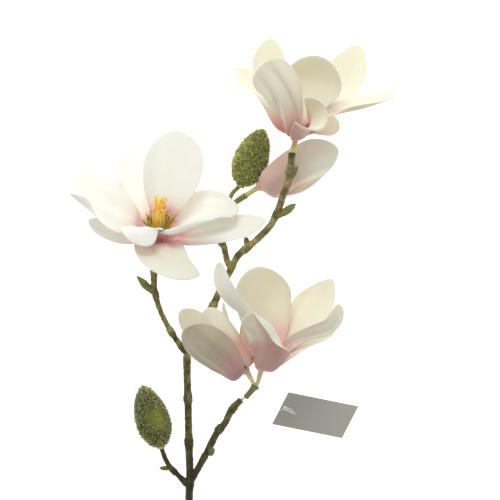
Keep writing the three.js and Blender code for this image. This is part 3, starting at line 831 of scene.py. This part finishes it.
def flock(name, core, seed, frost):
    """Short stiff fibres standing all over a core, each a copy of one slim spike."""
    spike = ring_column("spike", len(SPIKE_WIDTHS), 3)
    shape = mesh_points(spike)
    height = shape[:, 2] / (len(SPIKE_WIDTHS) - 1)
    spread = np.array(SPIKE_WIDTHS)[np.rint(shape[:, 2]).astype(int)]
    faces = [list(polygon.vertices) for polygon in spike.data.polygons]
    bpy.data.objects.remove(spike)
    rng = random.Random(seed)
    core.data.calc_loop_triangles()
    triangles = [list(t.vertices) for t in core.data.loop_triangles]
    points = mesh_points(core)
    normals = vertex_rows(core, "normal")
    areas = [t.area for t in core.data.loop_triangles]
    low, high = points[:, 1].min(), points[:, 1].max()
    vertices, copied, tones, patches = [], [], [], []
    for index in rng.choices(range(len(triangles)), weights=areas, k=FLOCK_COUNT):
        a, b = sorted((rng.random(), rng.random()))
        shares = np.array((a, b - a, 1 - b))
        foot = shares @ points[triangles[index]]
        bald = baldness(foot)
        if rng.random() < BALD_LOSS * bald:
            continue
        up = unit(shares @ normals[triangles[index]])
        lean = unit(up + np.array([rng.gauss(0, FLOCK_LEAN) for _ in range(3)]))
        side = unit(np.cross(lean, SKEW))
        other = np.cross(lean, side)
        tall = FLOCK_LENGTH * rng.choice(FLOCK_SHARES) * (1 - BALD_SHORTENING * bald)
        wide = FLOCK_THICKNESS * rng.uniform(0.6, 1.3) * spread
        first = len(vertices)
        rise = lean * (height * tall)[:, None] - up * FLOCK_SUNK
        around = side * (shape[:, 0] * wide)[:, None] + other * (shape[:, 1] * wide)[:, None]
        vertices.extend(foot + rise + around)
        copied.extend([first + i for i in face] for face in faces)
        ends = abs(2 * (foot[1] - low) / (high - low) - 1) ** 2
        tones.append(rng.random() * (1 - frost * ends) + frost * ends)
        patches.append(BALD_TINT * bald)
    mesh = bpy.data.meshes.new(name)
    mesh.from_pydata([tuple(v) for v in vertices], [], copied)
    mesh.update()
    fur = link(bpy.data.objects.new(name, mesh))
    mark(fur, "tone", np.repeat(tones, len(shape)))
    mark(fur, "bald", np.repeat(patches, len(shape)))
    face_outwards(fur)
    return fur


def make_furry_buds():
    buds = enumerate(FURRY_BUDS.items(), FLOCK_SEED)
    for seed, (name, (ends, radius, frost, look)) in buds:
        core = bud_core(name + "_core", *ends, radius)
        fur = flock(name + "_fur", core, seed, frost)
        mark(core, "bald", baldness(mesh_points(core)))
        collar = turned_mesh("collar", BUD_COLLAR, *ends, 20)
        mark(collar, "tone", [frost + COLLAR_TONE] * len(collar.data.vertices))
        piece = join([core, fur, collar], name + "_flocked")
        deliver(piece, [flock_finish(name + " flock", *look)], name)


# ---- flowers ----

COLUMN_RADIUS = ROOT_RADIUS - 0.3
COLUMN_FOOT = -1.6
COLUMN_TOP = 8
OPEN_STAMEN_RADIUS = 10  # past which a flower counts as wide open
OPEN_FLARE = 1.7  # of such a flower's receptacle
STAMEN_RADII = (0.35, 0.6, 0.75, 0.45)
CARPEL_RADII = (0.75, 1.0, 0.95, 0.6, 0.3)
PISTIL_FOOT_TINT = 0.75  # how olive the pistil's foot is
ROD_RINGS = 12
ROD_SIDES = 6


def bloom(base, axis, tone, stamens=(4, 10), pistil=(2.4, 13), **petals):
    """Stamens and pistil are each a radius and a height above the base."""
    return {
        "base": base, "axis": axis, "tone": tone, "stamens": stamens, "pistil": pistil,
        "petals": petals,
    }


FLOWERS = {}
FLOWERS["left"] = bloom(
    base=(-22.3, 175, 32), axis=(0.08, 0.8, 0.6), tone="white",
    stamens=(13.5, 21), pistil=(4.8, 38),
    back=petal([(6, 25, -3), (12, 51, -5), (13.5, 79, -10)], 46, broad=0.66, whorl=2),
    back_left=petal([(-8, 20, -12), (-17.5, 42, -21), (-22, 65, -31)], 30, whorl=0),
    far_left=petal(
        [(-15.5, 11, 5), (-37, 23.5, 13), (-63, 45, 10)], 58, broad=0.55, swell=1.7, point=0.25,
        cup=(0, 25, 20), roll=(120, 0), roll_start=0.5, fold=0.58,
    ),
    low_left=petal(
        [(-20, 1.5, 5.5), (-34, 6.5, 9), (-49, 13.5, 11)], 15, whorl=0, broad=0.65, point=0,
        twist=(0, -60, -90), flush=0.5,
    ),
    lip=petal(
        [(-8, 7, 20.5), (-10, 7, 33), (-4, -5.3, 39)], 30, whorl=2, broad=0.55, swell=2.2,
        cup=(30, 0, -30), twist=(0, 30, 30),
    ),
    upper_right=petal([(14, 12, -5), (34, 22, -6), (59, 21, -6)], 30),
    # This petal takes the greyer copy of the white, painted shade.
    front_right=petal(
        [(11.3, 4.8, 17), (19.5, 8.4, 22.5), (34, 12.8, 25.5), (56, 15, 27)], 34, whorl=2, claw=3,
        broad=0.46, swell=1.15, cup=(100, 20, 10, 20), twist=(-33, 0, 0, 0), roll=(0, -110),
        roll_start=0, tone="shaded_white",
    ),
    low_right=petal(
        [(15, 1, -3.5), (46, 5.5, -7), (78, 14, -11)], 26, whorl=0, claw=11.5, swell=0.8, lean=0.1,
        twist=(0, 15, 15),
    ),
    # This petal takes the greyer copy of the white, painted shade.
    hanging=petal(
        [(4.2, -3.2, 18), (7.2, -10.6, 28.5), (17, -18.8, 35.3), (31.5, -26, 38)], 36, whorl=0,
        broad=0.42, swell=0.9, point=0.35, cup=(20, 20, -10), roll=(0, -80), roll_start=0.35,
        fold=0.78, reach=11, lean=0.2, flush=1.7, tone="shaded_white",
    ),
)
FLOWERS["top"] = bloom(
    base=(77, 247.6, 44), axis=(0, 0.9, 0.44), tone="cream", stamens=(5, 11), pistil=(3, 14),
    back_left=petal([(-11, 22, -18), (-18, 48, -34), (-17, 75, -43)], 30, whorl=0),
    far_left=petal(
        [(-13.5, 20.5, -5), (-20, 30, -12), (-32, 39.5, -16), (-44, 51, -19)], 34, flush=0.8,
    ),
    front_left=petal(
        [(-2.5, 13, 19.5), (-11, 32, 22), (-25, 51, 15)], 33, whorl=2, broad=0.84, swell=1.6,
        point=0, cup=(30, 50, 25), crease=2.4,
    ),
    front=petal(
        [(11, 20, -8), (19, 40, -8), (15, 59, 2)], 54, whorl=3, broad=0.76, swell=2.4,
        cup=(30, 45, 45), flush=0.5,
    ),
    back_right=petal([(18.6, 20, -21.6), (36, 43, -35.5), (47, 70, -41)], 41, point=0.3),
    far_right=petal(
        [(22, 16, -3), (47, 22, -4), (74, 33, -6)], 28, whorl=2, twist=(0, -12, -8), roll=(0, 40),
    ),
    hooked=petal(
        [(7.3, 2.8, 12.8), (14.4, 7.4, 21.6), (18, 9.5, 28), (21.5, 8.5, 33)], 45, claw=17,
        broad=0.6, swell=1.9, cup=(60, 115, 115), twist=(0, 65), roll=(-40, -40), fold=0.8,
        lean=-0.15, tone="rosy",
    ),
    low_right=petal([(15.5, 4, -8.5), (21.5, 9, -25), (27, 18.5, -36.5)], 25, whorl=0),
)
FLOWERS["side"] = bloom(
    base=(51.9, 213.1, 16), axis=(0.84, 0.53, -0.05), tone="pale",
    front=petal(
        [(14, 3.5, 12), (34, 15.5, 13), (57, 27, 6)], 36, whorl=0, claw=18, broad=0.68, swell=0.95,
        point=0.4, cup=(70, 60, 40),
    ),
    upper=petal([(12, 11.3, 4.4), (23, 20, 5.4), (35, 28, 3)], 17, whorl=2, cup=(40, 50, 30)),
    lower=petal([(13, -7, -4), (33, -2, -8), (52, 14.5, -10)], 18, cup=(40, 50, 30)),
    back=petal([(15, 8, -14), (32, 18, -15), (52, 29, -8)], 28, whorl=0, cup=(50, 60, 40)),
    inner=petal([(14, 3, -4), (29, 11, -7), (46, 21, -7)], 14, whorl=3, cup=(40, 60, 40)),
)
FLOWERS["centre"] = bloom(
    base=(53, 82, 36.5), axis=(0.25, 0.88, 0.4), tone="cream", stamens=(6, 13), pistil=(3.6, 22),
    tall_left=petal(
        [(-5, 18, 5.5), (-13, 38, 11), (-24, 49, 11), (-30.5, 61, 10), (-31, 76.5, 6)], 28, whorl=2,
        twist=(0, 42, 62), broad=0.72, point=0.2, tone="white",
    ),
    back=petal(
        [(4.5, 22, -11.5), (0, 46, -13.5), (-4.5, 73, -4)], 46, whorl=3, broad=0.66,
        cup=(30, 40, 35),
    ),
    folded=petal(
        [(4, 13, 19), (1, 25, 24), (-14, 36, 24)], 31, broad=0.55, cup=(40, 40, 10),
        roll=(-150, -25), roll_start=0.32, fold=0.4, lean=-0.2, tone="rosy",
    ),
    upper_right=petal(
        [(17, 19, -12.5), (35, 38, -19), (51.5, 64.5, -22)], 32, broad=0.66, point=0.5,
    ),
    curled_right=petal(
        [(20, 18, 13), (37, 23.5, 15), (49, 27.5, 13), (55, 36, 10), (56, 46.5, 7)], 29, whorl=2,
        broad=0.74, twist=(-20, -20, -30, -60),
    ),
    low_right=petal([(20, 11, -9), (35, 19, -20), (53, 25, -26)], 18, whorl=0),
    back_left=petal([(-9, 19, -16), (-5, 38, -23), (-3, 58, -24)], 22, whorl=0),
)
FLOWERS["half_open"] = bloom(
    base=(41.2, 80.5, 36.6), axis=(-0.72, 0.66, 0.15), tone="pale",
    # The front petal takes the dark grey-brown tone, painted shade over its cupped face.
    front=petal(
        [(-13, 4, 12), (-29, 15, 15), (-45, 28.5, 9)], 38, whorl=0, broad=0.64, cup=(50, 60, 45),
        crease=1.3, tone="shade_grey",
    ),
    right=petal(
        [(-6.3, 13.8, 6.6), (-18, 28.5, 6), (-28.5, 44.5, 4)], 23, whorl=0, broad=0.62, point=0,
        cup=(60, 60, 40), twist=(-10, -55, -60), reach=5.6,
    ),
    # The left petal takes the lighter copy of cream, painted light on its shaded face.
    left=petal([(-15, 7, -8), (-30, 23, -9), (-47, 43, -4)], 30, cup=(40, 50, 35), tone="lit_cream"),
    inner=petal(
        [(-8, 16, -2), (-11.5, 32, -5), (-16, 49, -6)], 15, whorl=2, cup=(30, 40, 30),
        twist=(-45, -50, -50),
    ),
    back=petal([(-8, 1, -14), (-22, 13, -18), (-40, 29, -13)], 28, whorl=0, cup=(40, 50, 35)),
)


def petal_looks():
    """Inner and outer faces for each tone of petal: foot, blush, body and the pink's reach."""
    # Beside the white, a greyer copy of it is painted shade on the brightest white petals.
    white, shaded_white, cream = (0.94, 0.95, 0.87), (0.84, 0.85, 0.75), (0.86, 0.85, 0.71)
    # The dark grey-brown is painted shade: the body of a shaded petal, and mixed into outer faces
    # to darken them.
    # The pale cream is partly the closed flowers' own colour and partly painted light, lifted to
    # brighten their shaded faces.
    # The warmest cream, near white, is a lighter copy of cream: painted light on a petal turned
    # away from the lamps.
    pale, lit_cream, shade_grey = (0.93, 0.9, 0.75), (1.0, 0.95, 0.81), (0.49, 0.46, 0.34)
    rose, pink, coral = (0.88, 0.48, 0.48), (0.9, 0.55, 0.56), (0.92, 0.58, 0.57)
    mauve, plum = (0.78, 0.55, 0.49), (0.57, 0.36, 0.33)
    deep, dusk = (0.62, 0.24, 0.22), (0.36, 0.23, 0.2)
    # Outer faces are greyed towards that dark grey-brown, painted shade where they face away from
    # the light.
    tones = {
        "white": ((rose, pink, white, 0.3), (rose, pink, between(white, shade_grey, 0.2), 0.4)),
        "shaded_white": ((rose, pink, shaded_white, 0.3), (rose, pink, between(shaded_white, shade_grey, 0.2), 0.4)),
        "cream": ((deep, coral, cream, 0.42), (dusk, mauve, between(cream, shade_grey, 0.3), 0.5)),
        "rosy": (
            (deep, coral, cream, 0.42),
            (plum, between(plum, mauve, 0.2), between(cream, shade_grey, 0.4), 0.75),
        ),
        "pale": ((dusk, coral, cream, 0.4), (between(dusk, mauve, 0.75), mauve, pale, 0.6)),
        "lit_cream": ((dusk, coral, lit_cream, 0.4), (dusk, mauve, lit_cream, 0.5)),
        "shade_grey": ((dusk, coral, pale, 0.4), (dusk, plum, shade_grey, 0.5)),
    }
    faces = {}
    for tone, (inner, outer) in tones.items():
        rim = 0 if tone in ("white", "shaded_white") else 1
        faces[tone] = [
            petal_face(f"{tone} petal inner face", *inner, rim),
            petal_face(f"{tone} petal outer face", *outer, rim),
        ]
    return faces


def on_axis(name, flower, profile, sides):
    base = Vector(flower["base"])
    return turned_mesh(name, profile, base, base + Vector(flower["axis"]), sides)


def beside_axis(flower, angle, line):
    """Points for (radius, height) pairs at an angle round a flower's axis."""
    turn = Vector(flower["axis"]).to_track_quat("Z", "Y")
    out = (math.cos(angle), math.sin(angle))
    return [Vector(flower["base"]) + turn @ Vector((r * out[0], r * out[1], h)) for r, h in line]


def receptacle(flower):
    """The heart that the petals grow from, flared under the lowest of them in an open flower."""
    flare = OPEN_FLARE if flower["stamens"][0] > OPEN_STAMEN_RADIUS else 1
    outline = (
        (0.7, COLUMN_FOOT - 0.6), (0.9, COLUMN_FOOT), (flare, -0.7), (flare, -0.4), (1, 0.4),
        (1, COLUMN_TOP - 1), (0.8, COLUMN_TOP),
    )
    profile = [(COLUMN_RADIUS * wide, high) for wide, high in outline]
    return on_axis("receptacle", flower, profile, 24)


def bent_rods(name, lines, radii):
    """Slim rods, each a copy of one column bent along its own line."""
    first = ring_column(name, ROD_RINGS, ROD_SIDES)
    face_outwards(first)
    radius = at_share(radii, np.linspace(0, 1, ROD_RINGS))
    pieces = []
    for line in lines:
        piece = first.copy()
        piece.data = first.data.copy()
        centre = smooth_line(line, ROD_RINGS)
        bend(link(piece), centre, *carried_frames(centre, SKEW), radius)
        pieces.append(piece)
    bpy.data.objects.remove(first)
    return join(pieces, name)


def stamen_ring(flower, rng):
    """A ring of short bent stamens, leaning out from the column."""
    reach, height = flower["stamens"]
    count = 34 if reach > OPEN_STAMEN_RADIUS else 16
    lines = []
    for i in range(count):
        angle = 2 * math.pi * (i + rng.uniform(-0.3, 0.3)) / count
        out = reach * rng.uniform(0.6, 1.0)
        top = height * rng.uniform(0.8, 1.02)
        foot = rng.uniform(4.5, COLUMN_TOP - 0.5)
        lines.append(beside_axis(flower, angle, [
            (COLUMN_RADIUS * 0.85, foot),
            (COLUMN_RADIUS + (out - COLUMN_RADIUS) * 0.45, foot + (top - foot) * 0.35),
            (out, top),
        ]))
    return bent_rods("stamens", lines, STAMEN_RADII)


def pistil_column(flower, rng):
    """The column of carpels, ribbed up its side, each with a stigma that curls out and down."""
    radius, top = flower["pistil"]
    bottom = COLUMN_TOP - 2
    profile = [
        (radius * 0.72, bottom), (radius * 0.78, (bottom + top) / 2), (radius * 0.5, top - 2.5),
        (0.5, top - 1.5),
    ]
    core = on_axis("core", flower, profile, 16)
    neck = radius * 0.62
    lines = []
    for ring, (count, lift) in enumerate(((9, 0.0), (7, 0.45))):
        foot = bottom + (top - bottom) * lift
        for i in range(count):
            angle = 2 * math.pi * (i + 0.5 * ring + rng.uniform(-0.2, 0.2)) / count
            tall = top - rng.uniform(0.0, 3.5) - 5.0 * (1 - ring)
            curl = rng.uniform(0.75, 1.15)
            lines.append(beside_axis(flower, angle, [
                (radius * 0.7, foot), (radius * 0.8, foot + (tall - foot) * 0.55),
                (neck, tall - 1.2), (neck + 0.9 * curl, tall),
                (neck + 2.0 * curl, tall - 0.5 * curl), (neck + 2.2 * curl, tall - 1.8 * curl),
            ]))
    piece = join([core, bent_rods("carpels", lines, CARPEL_RADII)], "pistil")
    axis = np.array(Vector(flower["axis"]).normalized())
    height = (mesh_points(piece) - flower["base"]) @ axis
    foot = smoothstep(height, bottom + 2, bottom + (top - bottom) * 0.7)
    mark(piece, "foot", PISTIL_FOOT_TINT * (1 - foot))
    return piece


def make_flowers():
    looks = petal_looks()
    materials = (
        waxy("flower heart", (0.78, 0.42, 0.38), (0.9, 0.6, 0.54), 0.55),
        granular("olive stamens", (0.26, 0.13, 0.01), (0.46, 0.4, 0.04), (0.74, 0.68, 0.16)),
        # The pistil's glow is painted light, lifting it out of the shade among the petals.
        granular("orange pistil", (0.72, 0.25, 0.01), (1.0, 0.6, 0.12), (1.0, 0.86, 0.38), 0.12),
    )
    rng = random.Random(11)
    for flower_name, flower in FLOWERS.items():
        for petal_name, sheet in flower["petals"].items():
            node = f"{flower_name}_petal_{petal_name}"
            faces = looks[sheet.get("tone", flower["tone"])]
            piece = petal_mesh(node + "_sheet", flower, sheet, rng.uniform(0, 6), faces)
            deliver(piece, [], node)
        parts = [receptacle(flower), stamen_ring(flower, rng), pistil_column(flower, rng)]
        for part, material in zip(parts, materials):
            part.data.materials.append(material)
        node = flower_name + "_flower_centre"
        deliver(join(parts, node + "_heart"), [], node)


# ---- the label ----

CARD_CORNERS = [(60.7, 39.5), (112, 29.2), (124, 52.6), (72.7, 62.9)]
CARD_THICKNESS = 0.8
CARD_BEVEL = 0.12
CARD_TOP = LABEL_CORNER.z + CARD_THICKNESS
HOLE = (70.5, 51.0)
HOLE_RADIUS = 1.6
HOLE_SIDES = 24
STRING_PATH = [
    (48.6, 65.4, 31), (50.6, 63.6, 28.5), (53, 61.2, 21), (56, 58.6, 12), (59.5, 56.4, 5.5),
    (63.5, 54, 2.4), (68, 52, 1.7),
]
STRING_POINTS = 40
STRING_RADIUS = 0.3


def curve_piece(name, lines, **settings):
    """A curve of straight lines through the given points, not yet a mesh."""
    curve = adjust(bpy.data.curves.new(name, "CURVE"), **settings)
    for line in lines:
        spline = curve.splines.new("POLY")
        spline.points.add(len(line) - 1)
        for point, place in zip(spline.points, line):
            point.co = (*place, 1)
    return link(bpy.data.objects.new(name, curve))


def card_mesh(name, outlines):
    """A flat card with bevelled rims inside the outlines, which are its rim and its hole."""
    piece = curve_piece(
        name, [[(x, y, 0) for x, y in outline] for outline in outlines], dimensions="2D",
        fill_mode="BOTH", extrude=CARD_THICKNESS / 2 - CARD_BEVEL, bevel_depth=CARD_BEVEL,
        bevel_resolution=2, offset=-CARD_BEVEL,
    )
    for spline in piece.data.splines:
        spline.use_cyclic_u = True
    only(piece)
    bpy.ops.object.convert(target="MESH")
    card = bpy.context.object
    card.data.transform(Matrix.Translation((0, 0, CARD_TOP - CARD_THICKNESS / 2)))
    return card


def make_label():
    hole = [
        (HOLE[0] + HOLE_RADIUS * math.cos(a), HOLE[1] + HOLE_RADIUS * math.sin(a))
        for a in np.linspace(0, 2 * math.pi, HOLE_SIDES, endpoint=False)
    ]
    card = card_mesh("label_card", [CARD_CORNERS, hole])
    deliver(card, [card_finish()], "tag_card")
    only(card)
    bpy.ops.object.shade_smooth_by_angle(angle=math.radians(40))
    placed = [DRAWING + Vector(point) * MM for point in smooth_line(STRING_PATH, STRING_POINTS)]
    string = curve_piece(
        "label_thread", [placed], dimensions="3D", bevel_depth=STRING_RADIUS * MM,
        bevel_resolution=3, use_fill_caps=True,
    )
    string.data.materials.append(thread_finish("clear thread", 0.7))
    settle(string, "tag_string")
    knot = label_knot()
    deliver(knot, [thread_finish("knotted thread", 0.1)], "tag_string")


def label_knot():
    """The thread's end: a bead in the hole, a flattened loop lying on the card and a short tail."""
    centre = np.array((*HOLE, CARD_TOP))
    loop = [
        (0, 0, 0.6), (2.6, -0.1, 1), (5.2, -2, 0.8), (7.2, -4, 0.6), (4.6, -3.1, 0.7),
        (1.6, -1.5, 1), (0, 0, 0.8),
    ]
    tail = [(0, 0, 0.7), (-2.4, -0.9, 0.6), (-5, -1.6, 0.5)]
    bead = [(0.3, -0.6), (1.3, -0.2), (1.5, 0.5), (1.0, 1.1), (0.2, 1.3)]
    parts = [
        stem_mesh("loop", centre + loop, (0.7, 0.8, 0.5, 0.8, 0.7), sides=10, step=0.4),
        stem_mesh("tail", centre + tail, (0.45, 0.35), sides=10, step=0.4),
        turned_mesh("bead", bead, centre, centre + (0, 0, 1), 16),
    ]
    return join(parts, "label_knot")


# ---- the room ----

CAMERA_HEIGHT = 2.0
SENSOR_WIDTH = 36
AIM = Vector((44.6, 167, 0))  # the place in the drawing that the camera looks straight down at
FIELD = 0.36  # width that the view takes in at the height of the flowers
FLOWER_HEIGHT = 0.035
TABLE_SIZE = 6
TABLE_DROP = 0.0002  # of the table's face under the spray
TABLE_GLOW = 0.8
SKY_STRENGTH = 0.48


def make_camera():
    lens = SENSOR_WIDTH * (CAMERA_HEIGHT - FLOWER_HEIGHT) / FIELD
    data = adjust(bpy.data.cameras.new("overhead"), sensor_width=SENSOR_WIDTH, lens=lens)
    camera = link(bpy.data.objects.new("overhead", data))
    camera.location = DRAWING + AIM * MM
    camera.location.z = CAMERA_HEIGHT
    bpy.context.scene.camera = camera


def soft_light(name, place, target, size, power):
    data = adjust(bpy.data.lights.new(name, "AREA"), size=size, energy=power)
    light = link(bpy.data.objects.new(name, data))
    light.location = place
    light.rotation_mode = "QUATERNION"
    light.rotation_quaternion = (Vector(target) - Vector(place)).to_track_quat("-Z", "Y")


def make_room():
    clear_selection()
    bpy.ops.mesh.primitive_plane_add(size=TABLE_SIZE, location=(0, 0, -TABLE_DROP))
    floor = adjust(bpy.context.object, name="pale table")
    n = Nodes(
        "pale table", Roughness=0.8, Base_Color=(0.95, 0.95, 0.95, 1),
        Emission_Color=(1, 1, 1, 1), Emission_Strength=TABLE_GLOW,
    )
    floor.data.materials.append(n.material)
    soft_light("window panel", (-0.15, 1.5, 1.1), (0.02, 0.05, 0.03), 0.9, 13)
    soft_light("overhead panel", (-0.5, 0.2, 1.8), (0.02, 0.05, 0.0), 0.9, 3)
    world = bpy.data.worlds.new("room")
    world.use_nodes = True
    background = world.node_tree.nodes["Background"]
    background.inputs["Color"].default_value = (1, 1, 1, 1)
    background.inputs["Strength"].default_value = SKY_STRENGTH
    scene = bpy.context.scene
    scene.world = world
    scene.view_settings.view_transform = "Standard"


# ---- everything together ----

make_camera()
make_label()
make_stems()
make_joints()
make_furry_buds()
make_flowers()
make_room()
